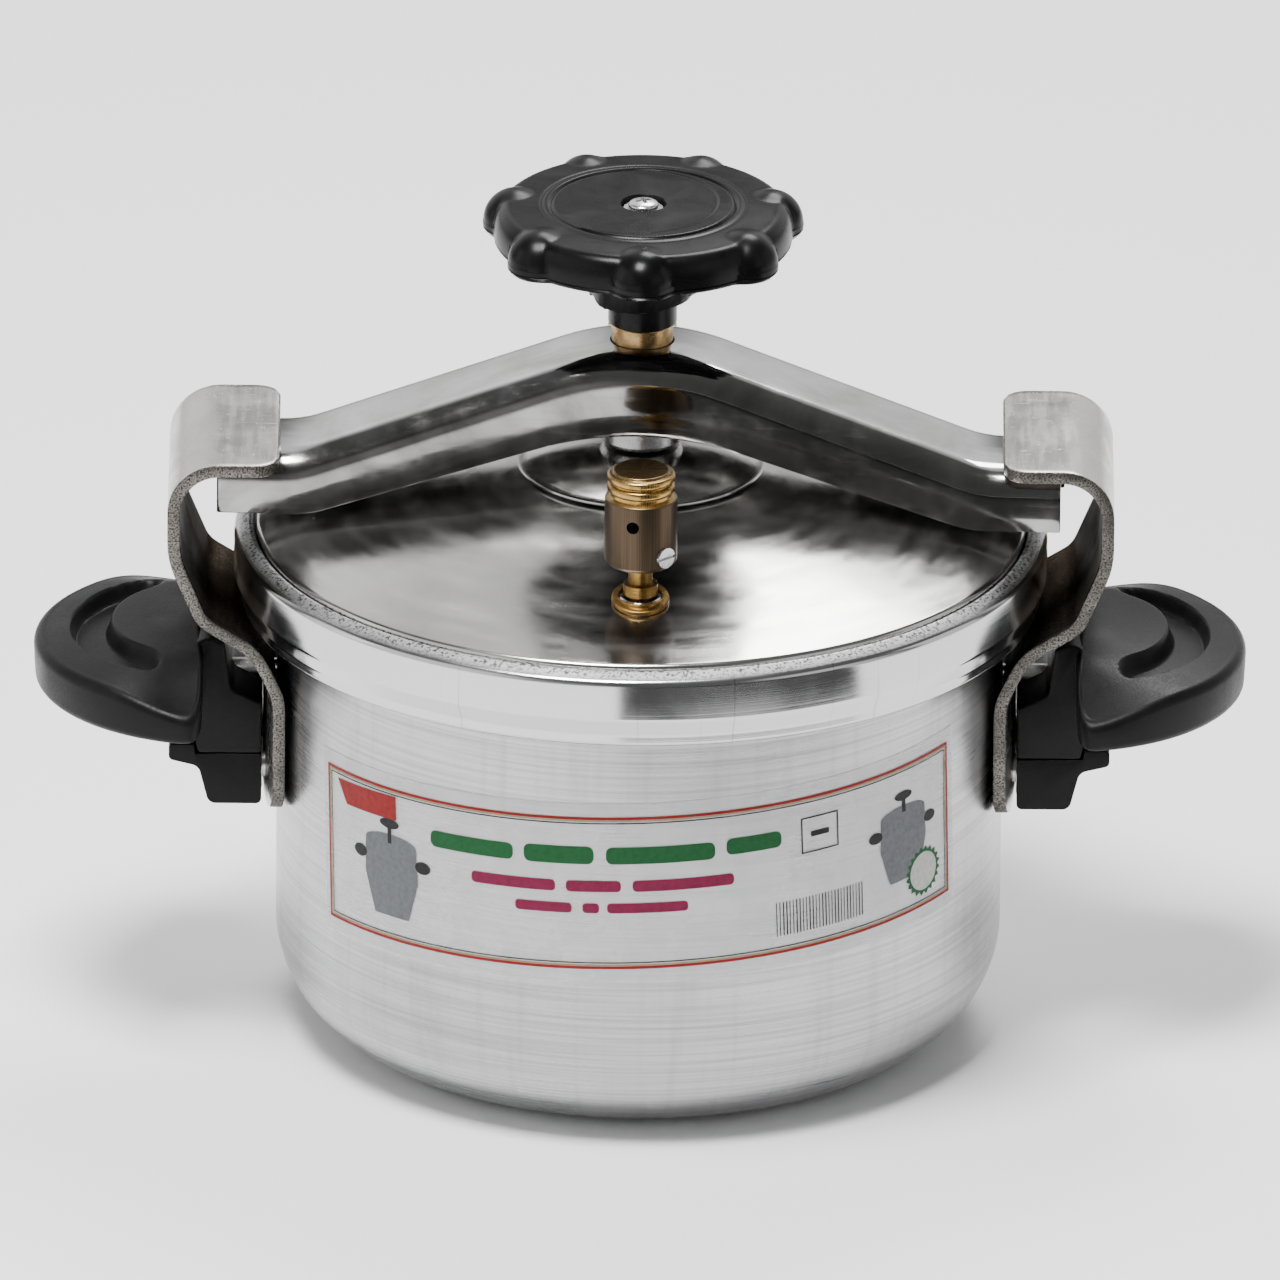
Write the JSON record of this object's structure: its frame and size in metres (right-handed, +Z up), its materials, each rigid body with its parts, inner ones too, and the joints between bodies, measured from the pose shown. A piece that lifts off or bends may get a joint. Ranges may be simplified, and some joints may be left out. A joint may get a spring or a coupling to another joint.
{
  "type": "stovetop pressure cooker",
  "caption": "Round aluminium stovetop pressure cooker: an inset lid clamped by a chevron yoke and hand screw under two side hooks, with side grips.",
  "frame": {"origin": "centre of the pot's flat base, on the surface it stands on", "axes": "+Z up along the pot's axis, +X through the two side handles, -Y towards the steam regulator"},
  "size_m": [0.334, 0.224, 0.242],
  "materials": {
    "pot_aluminium": "satin, turned",
    "lid_metal": "polished",
    "yoke_metal": "polished pressed sheet",
    "hook_metal": "satin strip with worn edges",
    "brass": "turned",
    "steel": "plated",
    "bakelite": "fine moulded grain",
    "knob_plastic": "moulded, glossy",
    "rubber": "matte",
    "label_film": "clear printed film"
  },
  "bodies": {
    "pot": {"pot_shell": "pot_aluminium", "hook_right": "hook_metal", "hook_left": "hook_metal", "handle_grip_right": "bakelite", "handle_grip_left": "bakelite", "handle_block_right": "bakelite", "handle_block_left": "bakelite", "handle_bolts": "steel", "handle_nuts": "steel", "handle_screws": "steel", "hook_rivets": "hook_metal", "label": "label_film"},
    "lid": {"lid_shell": "lid_metal", "lid_gasket": "rubber", "lid_cap": "yoke_metal", "regulator_stem": "brass", "regulator_washer": "rubber", "regulator_nut": "brass", "safety_body": "brass", "safety_washer": "rubber", "safety_nut": "brass", "safety_cap": "brass", "safety_spring": "steel"},
    "needle": {"regulator_needle": "steel"},
    "weight": {"regulator_weight": "brass", "regulator_set_screw": "steel"},
    "plunger": {"safety_plunger": "brass"},
    "yoke": {"yoke_channel": "yoke_metal", "yoke_bush": "brass", "yoke_bush_nut": "steel"},
    "foot": {"thrust_foot": "steel"},
    "screw": {"spindle": "steel", "hub_sleeve": "knob_plastic", "hub_collar": "knob_plastic", "knob": "knob_plastic", "knob_washer": "steel", "knob_screw": "steel"}
  },
  "joints": [
    {"name": "lid_turn", "type": "hinge", "parent": "pot", "child": "lid", "pos_m": [0, 0, 0.148], "axis": [0, 0, 1], "range_deg": [-30, 30]},
    {"name": "yoke_swing", "type": "hinge", "parent": "pot", "child": "yoke", "pos_m": [0, 0, 0.2], "axis": [0, 0, 1], "range_deg": [-35, 35]},
    {"name": "screw_feed", "type": "slide", "parent": "yoke", "child": "foot", "axis": [0, 0, 1], "range_m": [0, 0.01]},
    {"name": "knob_turn", "type": "hinge", "parent": "foot", "child": "screw", "pos_m": [0, 0, 0.235], "axis": [0, 0, 1], "range_deg": [0, 1800]},
    {"name": "regulator_lift", "type": "slide", "parent": "lid", "child": "needle", "axis": [0, 0, 1], "range_m": [0, 0.003]},
    {"name": "weight_spin", "type": "hinge", "parent": "needle", "child": "weight", "pos_m": [0, -0.0755, 0.18], "axis": [0, 0, 1], "continuous": true},
    {"name": "safety_lift", "type": "slide", "parent": "lid", "child": "plunger", "axis": [0, 0, 1], "range_m": [0, 0.0025], "stiffness_N_per_m": 400, "springref_m": -0.004, "deforming": ["safety_spring"]}
  ],
  "couplings": [
    {"joint": "screw_feed", "follows": "knob_turn", "m_per_rad": 0.0003183}
  ]
}
